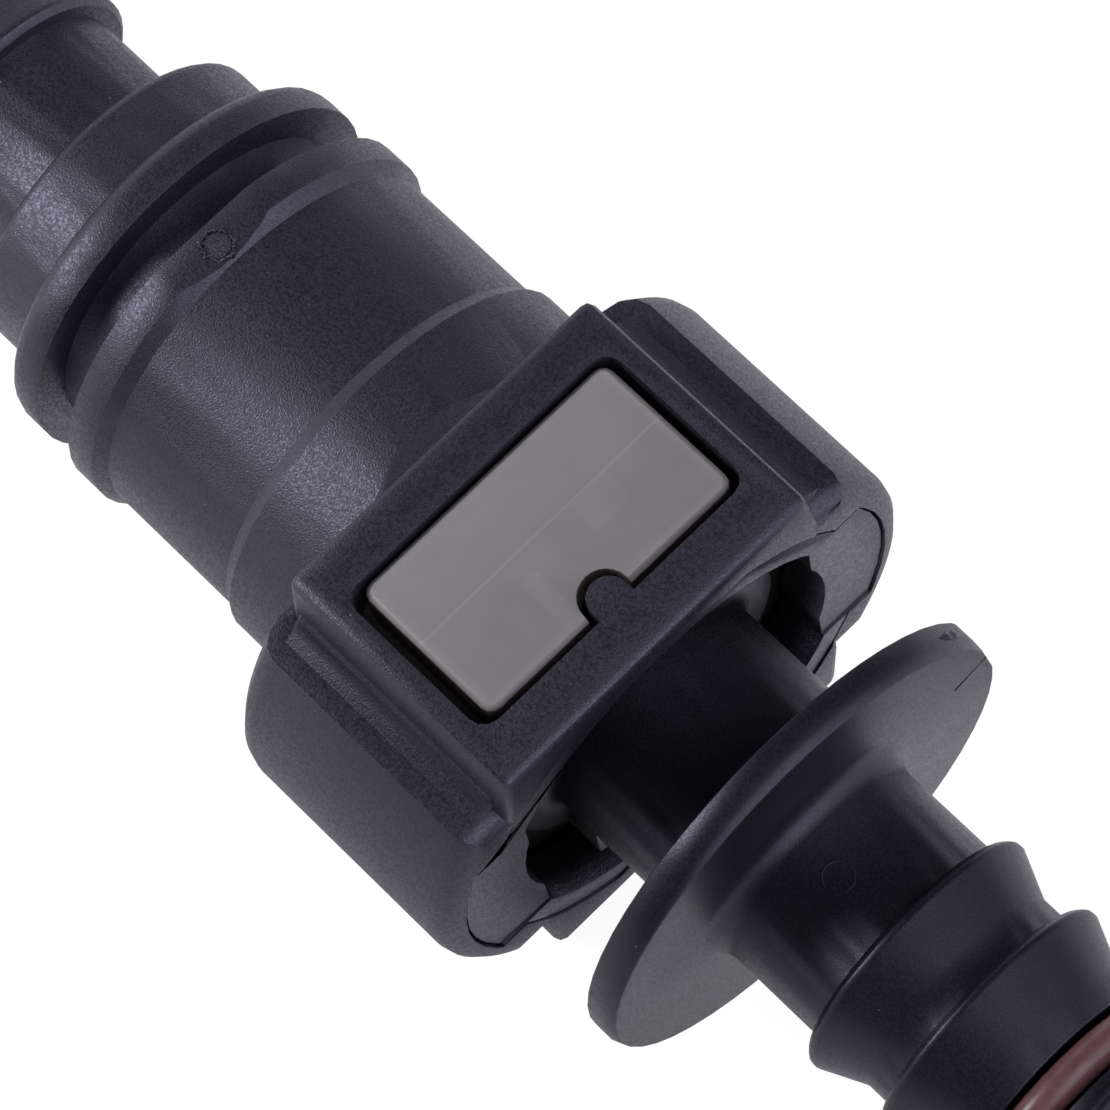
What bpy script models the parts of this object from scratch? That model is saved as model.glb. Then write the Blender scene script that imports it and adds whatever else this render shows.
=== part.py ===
"""Straight quick connector: a plug with a hose tail latched in a push-button socket with a hose tail.

Lengths are in metres. The common axis lies along X, with the plug's hose end at +X. Positions
along the axis are counted from the front face of the socket's head. The object stands on the
flat pad under the head, and the push button faces up.
"""
import math

import bmesh
import bpy
from mathutils import Matrix, Vector

COLLECTION_NAME = "straight_quick_connector"
CUTTER_COLLECTION_NAME = "cutters"

# Round shapes
TURN_STEPS = 48
RING_STEPS = 32
RING_SECTION_STEPS = 8
ARC_STEPS = 3

# Running gaps
SEAM_GAP = 0.00015
RING_GAP = 0.00015
SEAT_GAP = 0.0003
SLIDE_GAP = 0.0002

# Plug: tube, catch bead and flange
TUBE_RADIUS = 0.0059
TUBE_BORE_RADIUS = 0.0040
TUBE_TIP_DEPTH = 0.0275
TUBE_TIP_CHAMFER = 0.0008
BEAD_RADIUS = 0.0080
BEAD_LENGTH = 0.0020
BEAD_LEAD_LENGTH = 0.0016
BEAD_FILLET = 0.0007
BEAD_DEPTH = 0.0022
PLUG_FLANGE_GAP = 0.0064
PLUG_FLANGE_THICKNESS = 0.0016
PLUG_FLANGE_LIFT = 0.0002
PLUG_FLANGE_TAPER = 0.0002
PLUG_FLANGE_TAPER_LENGTH = 0.0005
PLUG_FLANGE_FLAT = 0.0003
PLUG_HUB_FILLET = 0.0010
PLUG_TURN_DEGREES = 9.0

# Hose tail, the same on the plug and on the socket
TAIL_RADIUS = 0.00554
TAIL_BORE_RADIUS = 0.0033
BARB_RADIUS = 0.00656
BARB_CREST_ROUND = 0.0003
BARB_CONE_LENGTH = 0.0028
BARB_LAND = 0.0016
FIRST_BARB_DISTANCE = 0.0064
GROOVE_REAR_LAND = 0.00064
TAIL_LEAD_LENGTH = 0.0028
TAIL_RING_SECTION = 0.0017
TAIL_RING_SIDE_GAP = 0.00018
TAIL_RING_STAND_OUT = 0.00045
TAIL_END_CHAMFER = 0.0006

# Socket: head
HEAD_REAR_WALL = 0.0014
HEAD_RADIUS = 0.0142
HEAD_HALF_HEIGHT = 0.0121
HEAD_FRONT_ROUND = 0.0011
HEAD_REAR_ROUND = 0.0013
PAD_REAR_WALL = 0.0011
PAD_HALF_WIDTH = 0.0090
PAD_FOOT_HALF_WIDTH = 0.00946
PAD_FOOT_FILLET = 0.0012
PAD_FOOT_END_ROUND = 0.0003
PAD_EDGE_ROUND = 0.00045
RAMP_LENGTH = 0.0015
RAMP_TIP_HALF_WIDTH = 0.0014
RAMP_TOP_HALF_WIDTH = 0.0040
RAMP_FOOT_HALF_WIDTH = 0.0066
RAMP_FOOT_HEIGHT = 0.0090
PAD_FRONT_STEP = 0.0001
CHANNEL_FLOOR_HEIGHT = 0.00838
CHANNEL_FRONT_ROUND = 0.0008

# Socket: barrel, ribs and collar behind the head
SHOULDER_RADIUS = 0.01022
SHOULDER_LENGTH = 0.0045
SHOULDER_CHAMFER = 0.0007
BARREL_RADIUS = 0.0098
BARREL_LENGTH = 0.00785
RIB_RADIUS = 0.01027
RIB_LENGTH = 0.00155
RIB_CHAMFER = 0.00065
RIB_FLAT_HALF_WIDTH = 0.0027
NECK_RADIUS = 0.0083
NECK_LENGTH = 0.00245
RING_FLANGE_RADIUS = 0.01003
RING_FLANGE_LENGTH = 0.00205
RING_FLANGE_ROUND = 0.0008
COLLAR_RADIUS = 0.0082
COLLAR_LENGTH = 0.00385
COLLAR_ROUND = 0.0005

# Socket: chamber for the retainer, window and bores
CHAMBER_DEPTH = 0.0124
CHAMBER_RADIUS = 0.0117
CHAMBER_HALF_HEIGHT = 0.0105
EAR_RADIUS = 0.0130
EAR_HALF_HEIGHT = 0.0056
WINDOW_LENGTH = 0.00874
WINDOW_WIDTH = 0.01582
WINDOW_FRONT_BAR = 0.0024
WINDOW_CORNER_ROUND = 0.0009
KEY_TAB_RADIUS = 0.0010
KEY_TAB_STRAIGHT = 0.0005
BUSH_SEAT_RADIUS = 0.0085
BUSH_SEAT_LENGTH = 0.0042
SEAL_BORE_RADIUS = 0.00775
SEAL_BORE_LENGTH = 0.0068
PILOT_RADIUS = 0.0062
PILOT_END_GAP = 0.0009
PILOT_CONE_LENGTH = 0.0014

# Seals in the socket
BUSH_BORE_RADIUS = 0.00605
BUSH_NOSE_LENGTH = 0.0010
BUSH_LEAD_CHAMFER = 0.0010
SPACER_LENGTH = 0.0016
SPACER_CHAMFER = 0.0002

# Front insert
INSERT_THICKNESS = 0.0026
OPENING_RADIUS = 0.0103
OPENING_HALF_WIDTH = 0.0087
EAR_FACE_INSIDE = 0.0070
OPENING_BULGE_RADIUS = 0.0093
EAR_FACE_RECESS = 0.00012
EAR_FACE_HALF_HEIGHT = 0.0054
LEG_THICKNESS = 0.0013
LEG_HALF_HEIGHT = 0.0040

# Retainer with push button
BUTTON_TRAVEL = 0.00145
BUTTON_RECESS = 0.0003
BUTTON_FRONT_GAP = 0.00045
BUTTON_REAR_GAP = 0.00018
BUTTON_SIDE_GAP = 0.0006
BUTTON_OFF_CENTER = 0.00017
BUTTON_CORNER_ROUND = 0.0006
BUTTON_EDGE_ROUND = 0.00025
NOTCH_RADIUS = 0.00125
NOTCH_DEPTH = 0.00155
FRAME_HALF_WIDTH = 0.0108
FRAME_REAR_GAP = 0.0005
FRAME_INNER_RADIUS = 0.0072
CATCH_HALF_WIDTH = 0.0053
CATCH_DEPTH = 0.0005
CATCH_REACH = 0.0020
CATCH_TOP_DROP = 0.0030

# Lengths worked out from the ones above
HEAD_LENGTH = CHAMBER_DEPTH + HEAD_REAR_WALL
PAD_LENGTH = CHAMBER_DEPTH + PAD_REAR_WALL
RIB_FLAT_HEIGHT = math.sqrt(RIB_RADIUS**2 - RIB_FLAT_HALF_WIDTH**2)
BARB_PITCH = BARB_CONE_LENGTH + BARB_LAND
TAIL_GROOVE_WIDTH = TAIL_RING_SECTION + 2 * TAIL_RING_SIDE_GAP
TAIL_RING_DISTANCE = FIRST_BARB_DISTANCE + 2 * BARB_PITCH
LAST_BARB_DISTANCE = TAIL_RING_DISTANCE + TAIL_GROOVE_WIDTH + GROOVE_REAR_LAND
TAIL_LENGTH = LAST_BARB_DISTANCE + BARB_CONE_LENGTH + TAIL_LEAD_LENGTH

# Places along the axis
HEAD_REAR_X = -HEAD_LENGTH
SHOULDER_REAR_X = HEAD_REAR_X - SHOULDER_LENGTH
BARREL_FRONT_X = SHOULDER_REAR_X - SHOULDER_CHAMFER
BARREL_REAR_X = BARREL_FRONT_X - BARREL_LENGTH
RIB_FRONT_X = BARREL_REAR_X - RIB_CHAMFER
RIB_REAR_X = RIB_FRONT_X - RIB_LENGTH
NECK_REAR_X = RIB_REAR_X - NECK_LENGTH
RING_FLANGE_REAR_X = NECK_REAR_X - RING_FLANGE_LENGTH
COLLAR_REAR_X = RING_FLANGE_REAR_X - COLLAR_LENGTH
SOCKET_END_X = COLLAR_REAR_X - TAIL_LENGTH

BUSH_SEAT_REAR_X = -CHAMBER_DEPTH - BUSH_SEAT_LENGTH
SEAL_BORE_REAR_X = BUSH_SEAT_REAR_X - SEAL_BORE_LENGTH
PILOT_REAR_X = -TUBE_TIP_DEPTH - PILOT_END_GAP
FLOW_BORE_FRONT_X = PILOT_REAR_X - PILOT_CONE_LENGTH

BEAD_FRONT_X = -BEAD_DEPTH
BEAD_REAR_X = BEAD_FRONT_X - BEAD_LENGTH
PLUG_TIP_X = -TUBE_TIP_DEPTH
PLUG_FLANGE_X = PLUG_FLANGE_GAP
PLUG_FLANGE_RADIUS = HEAD_HALF_HEIGHT - PLUG_FLANGE_LIFT
PLUG_FACE_X = PLUG_FLANGE_X + PLUG_FLANGE_THICKNESS
PLUG_END_X = PLUG_FACE_X + TAIL_LENGTH

SEAL_SECTION_RADIUS = (SEAL_BORE_RADIUS - TUBE_RADIUS) / 2 - RING_GAP
SEAL_MIDDLE_RADIUS = (SEAL_BORE_RADIUS + TUBE_RADIUS) / 2
BUSH_NOSE_REAR_X = BUSH_SEAT_REAR_X - BUSH_NOSE_LENGTH
FRONT_SEAL_X = BUSH_NOSE_REAR_X - RING_GAP - SEAL_SECTION_RADIUS
SPACER_FRONT_X = FRONT_SEAL_X - SEAL_SECTION_RADIUS - RING_GAP
SPACER_REAR_X = SPACER_FRONT_X - SPACER_LENGTH
REAR_SEAL_X = SPACER_REAR_X - RING_GAP - SEAL_SECTION_RADIUS

TAIL_RING_OUTER_RADIUS = TAIL_RADIUS + TAIL_RING_STAND_OUT
TAIL_GROOVE_RADIUS = TAIL_RING_OUTER_RADIUS - TAIL_RING_SECTION - RING_GAP

WINDOW_FRONT_X = -WINDOW_FRONT_BAR
WINDOW_REAR_X = WINDOW_FRONT_X - WINDOW_LENGTH
WINDOW_MIDDLE_X = (WINDOW_FRONT_X + WINDOW_REAR_X) / 2
FRAME_FRONT_X = -INSERT_THICKNESS - 2 * SLIDE_GAP
FRAME_REAR_X = -CHAMBER_DEPTH + FRAME_REAR_GAP
BEAD_CLEAR_RADIUS = BEAD_RADIUS + SLIDE_GAP
CATCH_REAR_X = BEAD_FRONT_X + SLIDE_GAP
CATCH_OUTER_RADIUS = OPENING_RADIUS - RING_GAP

# The origin lies in the middle of the pad that the object stands on
AXIS_HEIGHT = HEAD_HALF_HEIGHT
FRONT_FACE_X = PAD_LENGTH / 2

OVERCUT = 0.002
SHORT_OVERCUT = 0.0005
FILLET_END_DEGREES = 262.0


def remove_everything():
    """Start from an empty scene."""
    for item in list(bpy.data.objects):
        bpy.data.objects.remove(item, do_unlink=True)


def make_collection(name):
    """Return a new collection linked to the scene."""
    collection = bpy.data.collections.new(name)
    bpy.context.scene.collection.children.link(collection)
    return collection


def make_axis_empty(collection):
    """The empty marks the common axis at the head's front face, and carries every piece."""
    empty = bpy.data.objects.new("connector_axis", None)
    empty.location = (FRONT_FACE_X, 0, AXIS_HEIGHT)
    collection.objects.link(empty)
    return empty


def make_material(name, color, roughness, metallic=0.0):
    """Return a Principled BSDF material."""
    material = bpy.data.materials.new(name)
    material.use_nodes = True
    shader = material.node_tree.nodes["Principled BSDF"]
    shader.inputs["Base Color"].default_value = (*color, 1)
    shader.inputs["Roughness"].default_value = roughness
    shader.inputs["Metallic"].default_value = metallic
    return material


def object_from_bmesh(name, shape, collection):
    """Store a bmesh as a new object."""
    bmesh.ops.recalc_face_normals(shape, faces=shape.faces)
    mesh = bpy.data.meshes.new(name)
    shape.to_mesh(mesh)
    shape.free()
    item = bpy.data.objects.new(name, mesh)
    collection.objects.link(item)
    return item


def hide_cutter(item):
    """A cutter shows as a wire and never renders."""
    item.hide_render = True
    item.display_type = "WIRE"


def arc_points(center_x, center_radius, radius, start_degrees, end_degrees, steps=ARC_STEPS):
    """Points on a fillet or a round of a turned profile, as (x, radius) pairs."""
    points = []
    for index in range(steps + 1):
        angle = math.radians(start_degrees + (end_degrees - start_degrees) * index / steps)
        point_x = center_x + radius * math.cos(angle)
        point_radius = center_radius + radius * math.sin(angle)
        points.append((point_x, point_radius))
    return points


def turned(name, profile, collection, steps=TURN_STEPS):
    """Turn a closed (x, radius) profile about the X axis."""
    mesh = bpy.data.meshes.new(name)
    vertices = [(radius, 0, along) for along, radius in profile]
    edges = [(index, (index + 1) % len(profile)) for index in range(len(profile))]
    mesh.from_pydata(vertices, edges, [])
    item = bpy.data.objects.new(name, mesh)
    collection.objects.link(item)
    screw = item.modifiers.new("turn", "SCREW")
    screw.axis = "Z"
    screw.steps = steps
    screw.render_steps = steps
    screw.use_merge_vertices = True
    screw.merge_threshold = 0.00001
    screw.use_normal_calculate = True
    bake(item)
    item.data.transform(Matrix.Rotation(math.radians(90), 4, "Y"))
    face_out(item)
    return item


def turned_solid(name, profile, collection, steps=TURN_STEPS):
    """A full turned shape with a flat face at each end of its (x, radius) profile."""
    rings = []
    shape = bmesh.new()
    for along, radius in profile:
        ring = []
        for index in range(steps):
            angle = 2 * math.pi * (index + 0.5) / steps
            ring.append(shape.verts.new((along, radius * math.cos(angle), radius * math.sin(angle))))
        rings.append(ring)
    for first, second in zip(rings, rings[1:]):
        for index in range(steps):
            after = (index + 1) % steps
            shape.faces.new((first[index], first[after], second[after], second[index]))
    shape.faces.new(rings[0])
    shape.faces.new(rings[-1])
    return object_from_bmesh(name, shape, collection)


def extruded(name, outline, start, end, collection, side=1, along_y=False):
    """An outline drawn out along X, or along Y; side -1 turns it upside down."""
    shape = bmesh.new()
    ends = []
    for along in (start, end):
        ring = []
        for across, up in outline:
            place = (across, along, side * up) if along_y else (along, across, side * up)
            ring.append(shape.verts.new(place))
        ends.append(ring)
    shape.faces.new(ends[0])
    shape.faces.new(ends[1])
    for index in range(len(outline)):
        after = (index + 1) % len(outline)
        shape.faces.new((ends[0][index], ends[0][after], ends[1][after], ends[1][index]))
    return object_from_bmesh(name, shape, collection)


def face_out(item):
    """Make the faces of a closed mesh point out."""
    shape = bmesh.new()
    shape.from_mesh(item.data)
    bmesh.ops.recalc_face_normals(shape, faces=shape.faces)
    shape.to_mesh(item.data)
    shape.free()


def cylinder(name, radius, start_x, end_x, collection, center_z=0.0, steps=TURN_STEPS):
    """A cylinder along X."""
    shape = bmesh.new()
    bmesh.ops.create_cone(
        shape,
        cap_ends=True,
        segments=steps,
        radius1=radius,
        radius2=radius,
        depth=end_x - start_x,
        matrix=Matrix.Rotation(math.radians(90), 4, "Y"),
    )
    bmesh.ops.translate(shape, verts=shape.verts, vec=((start_x + end_x) / 2, 0, center_z))
    return object_from_bmesh(name, shape, collection)


def box(name, low, high, collection):
    """A box between two corners."""
    shape = bmesh.new()
    bmesh.ops.create_cube(shape, size=1.0)
    size = [high[axis] - low[axis] for axis in range(3)]
    middle = [(high[axis] + low[axis]) / 2 for axis in range(3)]
    bmesh.ops.scale(shape, verts=shape.verts, vec=size)
    bmesh.ops.translate(shape, verts=shape.verts, vec=middle)
    return object_from_bmesh(name, shape, collection)


def hull(name, points, collection):
    """The convex solid round a few points."""
    shape = bmesh.new()
    for point in points:
        shape.verts.new(point)
    bmesh.ops.convex_hull(shape, input=shape.verts)
    return object_from_bmesh(name, shape, collection)


def bake(item):
    """Replace an object's mesh by its mesh after modifiers."""
    depsgraph = bpy.context.evaluated_depsgraph_get()
    evaluated = item.evaluated_get(depsgraph)
    mesh = bpy.data.meshes.new_from_object(evaluated)
    item.modifiers.clear()
    item.data = mesh


def round_edges(item, width, segments=2, angle_degrees=40.0, vertical_only=False):
    """Bevel an object's sharp edges, or only those that run along Z."""
    if vertical_only:
        shape = bmesh.new()
        shape.from_mesh(item.data)
        upright = []
        for edge in shape.edges:
            span = edge.verts[1].co - edge.verts[0].co
            if abs(span.z) > 0.99 * span.length:
                upright.append(edge)
        bmesh.ops.bevel(
            shape,
            geom=upright,
            offset=width,
            segments=segments + 1,
            affect="EDGES",
            profile=0.5,
        )
        shape.to_mesh(item.data)
        shape.free()
        return
    bevel = item.modifiers.new("round", "BEVEL")
    bevel.width = width
    bevel.segments = segments
    bevel.limit_method = "ANGLE"
    bevel.angle_limit = math.radians(angle_degrees)
    bake(item)


def combine(item, other, operation, cutters):
    """Join, cut or intersect an object with another, which then stays as a hidden cutter."""
    modifier = item.modifiers.new(operation.lower(), "BOOLEAN")
    modifier.operation = operation
    modifier.solver = "EXACT"
    modifier.object = other
    bake(item)
    for collection in other.users_collection:
        collection.objects.unlink(other)
    cutters.objects.link(other)
    hide_cutter(other)


def finish_piece(item, axis_empty, material, sharp_degrees=35.0):
    """Weld stray points, shade the round faces smooth, and hang the piece on the axis."""
    shape = bmesh.new()
    shape.from_mesh(item.data)
    bmesh.ops.remove_doubles(shape, verts=shape.verts, dist=0.000001)
    bmesh.ops.dissolve_degenerate(shape, edges=shape.edges, dist=0.000001)
    shape.to_mesh(item.data)
    shape.free()
    item.data.shade_smooth()
    item.data.set_sharp_from_angle(angle=math.radians(sharp_degrees))
    item.data.materials.clear()
    item.data.materials.append(material)
    item.parent = axis_empty


def barb_profile(face_x, direction):
    """The hose tail's outline from its face to its end, with three barbs and a ring groove."""
    points = []

    def add(distance, radius):
        points.append((face_x + direction * distance, radius))

    def add_barb(distance):
        add(distance, TAIL_RADIUS)
        add(distance, BARB_RADIUS - BARB_CREST_ROUND)
        add(distance + BARB_CREST_ROUND, BARB_RADIUS)
        add(distance + 2 * BARB_CREST_ROUND, BARB_RADIUS)
        add(distance + BARB_CONE_LENGTH, TAIL_RADIUS)

    add_barb(FIRST_BARB_DISTANCE)
    add_barb(FIRST_BARB_DISTANCE + BARB_PITCH)
    add(TAIL_RING_DISTANCE, TAIL_RADIUS)
    add(TAIL_RING_DISTANCE, TAIL_GROOVE_RADIUS)
    add(TAIL_RING_DISTANCE + TAIL_GROOVE_WIDTH, TAIL_GROOVE_RADIUS)
    add(TAIL_RING_DISTANCE + TAIL_GROOVE_WIDTH, TAIL_RADIUS)
    add_barb(LAST_BARB_DISTANCE)
    add(TAIL_LENGTH - TAIL_END_CHAMFER, TAIL_RADIUS)
    add(TAIL_LENGTH, TAIL_RADIUS - TAIL_END_CHAMFER)
    return points


def make_plug(parts, cutters):
    """The plug: one moulding with tube, catch bead, flange and hose tail."""
    profile = [(PLUG_TIP_X, TUBE_BORE_RADIUS)]
    profile.append((PLUG_TIP_X, TUBE_RADIUS - TUBE_TIP_CHAMFER))
    profile.append((PLUG_TIP_X + 2 * TUBE_TIP_CHAMFER, TUBE_RADIUS))
    profile.append((BEAD_REAR_X - BEAD_LEAD_LENGTH, TUBE_RADIUS))
    profile.append((BEAD_REAR_X, BEAD_RADIUS))
    profile.append((BEAD_FRONT_X, BEAD_RADIUS))
    fillet_x = BEAD_FRONT_X + BEAD_FILLET
    profile += arc_points(fillet_x, TUBE_RADIUS + BEAD_FILLET, BEAD_FILLET, 180, 270)
    profile.append((PLUG_FLANGE_X, TUBE_RADIUS))
    profile.append((PLUG_FLANGE_X, PLUG_FLANGE_RADIUS))
    profile.append((PLUG_FACE_X - PLUG_FLANGE_TAPER_LENGTH, PLUG_FLANGE_RADIUS))
    profile.append((PLUG_FACE_X, PLUG_FLANGE_RADIUS - PLUG_FLANGE_TAPER))
    hub_x = PLUG_FACE_X + PLUG_HUB_FILLET
    profile += arc_points(hub_x, TAIL_RADIUS + PLUG_HUB_FILLET, PLUG_HUB_FILLET, 180, 270)
    profile += barb_profile(PLUG_FACE_X, 1)
    profile.append((PLUG_END_X, TAIL_BORE_RADIUS))
    profile.append((PLUG_FACE_X, TAIL_BORE_RADIUS))
    profile.append((PLUG_FLANGE_X, TUBE_BORE_RADIUS))
    plug = turned("plug", profile, parts)
    flat = box(
        "flange_flat_cutter",
        (PLUG_FLANGE_X - SHORT_OVERCUT, PLUG_FLANGE_RADIUS - PLUG_FLANGE_FLAT, -PLUG_FLANGE_RADIUS),
        (PLUG_FACE_X + SHORT_OVERCUT, PLUG_FLANGE_RADIUS + OVERCUT, PLUG_FLANGE_RADIUS),
        cutters,
    )
    combine(plug, flat, "DIFFERENCE", cutters)
    plug.rotation_euler.x = math.radians(PLUG_TURN_DEGREES)
    return plug


def make_head(parts, cutters):
    """The socket's head: a round block with two flat pads and a channel on each side of them."""
    profile = arc_points(
        -HEAD_FRONT_ROUND, HEAD_RADIUS - HEAD_FRONT_ROUND, HEAD_FRONT_ROUND, 0, 90
    )
    profile += arc_points(
        HEAD_REAR_X + HEAD_REAR_ROUND, HEAD_RADIUS - HEAD_REAR_ROUND, HEAD_REAR_ROUND, 90, 180
    )
    head = turned_solid("housing", profile, parts, steps=2 * TURN_STEPS)
    for side in (-1, 1):
        combine(head, make_lobe_cutter(side, cutters), "DIFFERENCE", cutters)
        combine(head, make_channel_round(side, cutters), "DIFFERENCE", cutters)
    combine(head, make_pad_feet(cutters), "UNION", cutters)
    combine(head, make_pads(cutters), "UNION", cutters)
    for side in (-1, 1):
        combine(head, make_ramp(side, cutters), "UNION", cutters)
    return head


def make_pads(cutters):
    """The block that ends in a flat pad above and below, a little wider at its foot."""
    upper = [(PAD_FOOT_HALF_WIDTH, CHANNEL_FLOOR_HEIGHT), (PAD_HALF_WIDTH, HEAD_HALF_HEIGHT)]
    upper += [(-across, up) for across, up in reversed(upper)]
    outline = upper + [(-across, -up) for across, up in upper]
    pads = extruded("pad_block", outline, -PAD_LENGTH, PAD_FRONT_STEP, cutters)
    round_edges(pads, PAD_EDGE_ROUND)
    return pads


def make_pad_feet(cutters):
    """The fillets between the pads' sides and the channels' floors."""
    middle_y = PAD_FOOT_HALF_WIDTH + PAD_FOOT_FILLET
    middle_z = CHANNEL_FLOOR_HEIGHT + PAD_FOOT_FILLET
    right = [(PAD_FOOT_HALF_WIDTH - PAD_EDGE_ROUND, middle_z)]
    right += arc_points(middle_y, middle_z, PAD_FOOT_FILLET, 180, FILLET_END_DEGREES)
    right.append((middle_y, CHANNEL_FLOOR_HEIGHT - PAD_EDGE_ROUND))
    upper = [(-across, up) for across, up in reversed(right)] + right
    outline = upper + [(-across, -up) for across, up in upper]
    rear_x = -PAD_LENGTH + PAD_EDGE_ROUND
    feet = extruded("pad_feet", outline, rear_x, -CHANNEL_FRONT_ROUND, cutters)
    round_edges(feet, PAD_FOOT_END_ROUND, segments=1, angle_degrees=60)
    return feet


def make_lobe_cutter(side, cutters):
    """Everything above the lobes: the room for one pad and the channel on each side of it."""
    outline = [
        (-HEAD_RADIUS - OVERCUT, CHANNEL_FLOOR_HEIGHT),
        (HEAD_RADIUS + OVERCUT, CHANNEL_FLOOR_HEIGHT),
        (HEAD_RADIUS + OVERCUT, HEAD_RADIUS + OVERCUT),
        (-HEAD_RADIUS - OVERCUT, HEAD_RADIUS + OVERCUT),
    ]
    return extruded("lobe_cutter", outline, HEAD_REAR_X - OVERCUT, OVERCUT, cutters, side)


def make_channel_round(side, cutters):
    """The round that turns the channels' floors down into the head's front face."""
    middle_z = CHANNEL_FLOOR_HEIGHT - CHANNEL_FRONT_ROUND
    outline = arc_points(-CHANNEL_FRONT_ROUND, middle_z, CHANNEL_FRONT_ROUND, 0, 90)
    outline.append((-CHANNEL_FRONT_ROUND, CHANNEL_FLOOR_HEIGHT + SHORT_OVERCUT))
    outline.append((OVERCUT, CHANNEL_FLOOR_HEIGHT + SHORT_OVERCUT))
    outline.append((OVERCUT, middle_z))
    reach = HEAD_RADIUS + OVERCUT
    return extruded("channel_round", outline, -reach, reach, cutters, side, along_y=True)


def make_ramp(side, cutters):
    """The ramp from a pad's rear edge down to the shoulder."""
    front_x = -PAD_LENGTH + PAD_EDGE_ROUND
    tip_x = -PAD_LENGTH - RAMP_LENGTH
    low_z = SHOULDER_RADIUS / 2
    points = []
    for hand in (-1, 1):
        points.append((front_x, hand * RAMP_TOP_HALF_WIDTH, side * HEAD_HALF_HEIGHT))
        points.append((front_x, hand * RAMP_FOOT_HALF_WIDTH, side * RAMP_FOOT_HEIGHT))
        points.append((front_x, hand * RAMP_FOOT_HALF_WIDTH, side * low_z))
        points.append((tip_x, hand * RAMP_TIP_HALF_WIDTH, side * SHOULDER_RADIUS))
        points.append((tip_x, hand * RAMP_TIP_HALF_WIDTH, side * low_z))
    return hull("pad_ramp", points, cutters)


def socket_profile():
    """Outline of the socket behind the head, down to its hose end."""
    profile = [(-PAD_LENGTH / 2, SHOULDER_RADIUS)]
    profile.append((SHOULDER_REAR_X, SHOULDER_RADIUS))
    profile.append((BARREL_FRONT_X, BARREL_RADIUS))
    profile.append((BARREL_REAR_X, BARREL_RADIUS))
    profile.append((RIB_FRONT_X, RIB_RADIUS))
    profile.append((RIB_REAR_X, RIB_RADIUS))
    profile.append((RIB_REAR_X, NECK_RADIUS))
    profile.append((NECK_REAR_X, NECK_RADIUS))
    profile.append((NECK_REAR_X, RING_FLANGE_RADIUS))
    profile += arc_points(
        RING_FLANGE_REAR_X + RING_FLANGE_ROUND,
        RING_FLANGE_RADIUS - RING_FLANGE_ROUND,
        RING_FLANGE_ROUND,
        90,
        180,
    )
    profile.append((RING_FLANGE_REAR_X, COLLAR_RADIUS))
    profile += arc_points(
        COLLAR_REAR_X + COLLAR_ROUND, COLLAR_RADIUS - COLLAR_ROUND, COLLAR_ROUND, 90, 180
    )
    profile.append((COLLAR_REAR_X, TAIL_RADIUS))
    profile += barb_profile(COLLAR_REAR_X, -1)
    return profile


def bore_profile():
    """Outline of the stepped bore for the bush, the seals and the plug's tip."""
    start_x = -CHAMBER_DEPTH + OVERCUT
    return [
        (start_x, BUSH_SEAT_RADIUS),
        (BUSH_SEAT_REAR_X, BUSH_SEAT_RADIUS),
        (BUSH_SEAT_REAR_X, SEAL_BORE_RADIUS),
        (SEAL_BORE_REAR_X, SEAL_BORE_RADIUS),
        (SEAL_BORE_REAR_X, PILOT_RADIUS),
        (PILOT_REAR_X, PILOT_RADIUS),
        (FLOW_BORE_FRONT_X, TAIL_BORE_RADIUS),
        (SOCKET_END_X - OVERCUT, TAIL_BORE_RADIUS),
    ]


def oblong_block(name, front_x, rear_x, shrink, collection, cutters):
    """The chamber's outline as a block: a flattened disc with an ear on each side."""
    block = cylinder(name, CHAMBER_RADIUS - shrink, rear_x, front_x, collection)
    height = CHAMBER_HALF_HEIGHT - shrink
    flat = box(
        name + "_flat",
        (rear_x - OVERCUT, -CHAMBER_RADIUS - OVERCUT, -height),
        (front_x + OVERCUT, CHAMBER_RADIUS + OVERCUT, height),
        cutters,
    )
    combine(block, flat, "INTERSECT", cutters)
    ears = cylinder(name + "_ears", EAR_RADIUS - shrink, rear_x, front_x, cutters)
    ear_height = EAR_HALF_HEIGHT - shrink
    band = box(
        name + "_band",
        (rear_x - OVERCUT, -EAR_RADIUS - OVERCUT, -ear_height),
        (front_x + OVERCUT, EAR_RADIUS + OVERCUT, ear_height),
        cutters,
    )
    combine(ears, band, "INTERSECT", cutters)
    combine(block, ears, "UNION", cutters)
    return block


def make_window_cutter(cutters):
    """The button's window, less the round key tab on its front bar."""
    window = box(
        "window_cutter",
        (WINDOW_REAR_X, -WINDOW_WIDTH / 2, CHAMBER_HALF_HEIGHT - OVERCUT),
        (WINDOW_FRONT_X, WINDOW_WIDTH / 2, HEAD_HALF_HEIGHT + OVERCUT),
        cutters,
    )
    round_edges(window, WINDOW_CORNER_ROUND, vertical_only=True)
    tab = key_shape("key_tab", WINDOW_FRONT_X, KEY_TAB_RADIUS, KEY_TAB_STRAIGHT, cutters)
    combine(window, tab, "DIFFERENCE", cutters)
    return window


def key_shape(name, edge_x, radius, straight, cutters):
    """An upright half-round key that reaches back from an edge."""
    shape = bmesh.new()
    bmesh.ops.create_cone(
        shape,
        cap_ends=True,
        segments=TURN_STEPS // 2,
        radius1=radius,
        radius2=radius,
        depth=2 * HEAD_HALF_HEIGHT,
    )
    bmesh.ops.translate(shape, verts=shape.verts, vec=(edge_x - straight, 0, HEAD_HALF_HEIGHT))
    key = object_from_bmesh(name, shape, cutters)
    stem = box(
        name + "_stem",
        (edge_x - straight, -radius, 0),
        (edge_x + OVERCUT, radius, 2 * HEAD_HALF_HEIGHT),
        cutters,
    )
    combine(key, stem, "UNION", cutters)
    return key


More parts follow.
